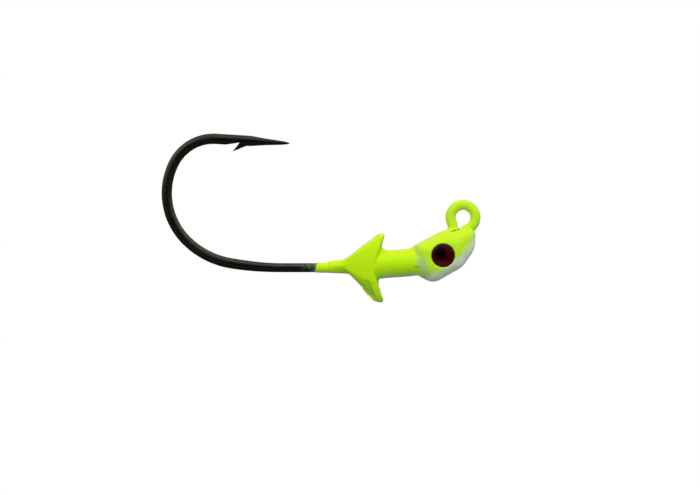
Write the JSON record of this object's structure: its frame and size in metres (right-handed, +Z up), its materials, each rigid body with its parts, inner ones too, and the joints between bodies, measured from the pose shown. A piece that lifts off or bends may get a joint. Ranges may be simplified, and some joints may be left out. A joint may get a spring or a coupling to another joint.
{
  "type": "jig head",
  "caption": "Weighted fish-head jig: a cast lead head with eyes and a barbed bait keeper on a barbed hook, with a wire eye on top for the line.",
  "frame": {"origin": "centre of the wire eye that the line is tied to, in the hook's plane", "axes": "+X along the shank from the bend to the nose, +Z up to the hook's point, +Y out of the fish's left cheek, square to the hook's plane"},
  "size_m": [0.0463, 0.0054, 0.0246],
  "materials": {
    "hook_wire": "forged high-carbon steel wire with a glossy black-nickel plating",
    "cast_lead": "bare cast lead, dull grey, hidden under the paint",
    "chartreuse_coat": "glossy chartreuse powder coat over a pale grey-white base coat that shows along the belly",
    "eye_print": "printed sticker: dark red iris with a black pupil",
    "eye_resin": "clear, glossy domed resin tinted by the print below"
  },
  "bodies": {
    "root": {"hook": "hook_wire", "head_casting": "cast_lead", "powder_coat": "chartreuse_coat", "left_eye_disc": "eye_print", "right_eye_disc": "eye_print", "left_eye_lens": "eye_resin", "right_eye_lens": "eye_resin"}
  },
  "joints": []
}
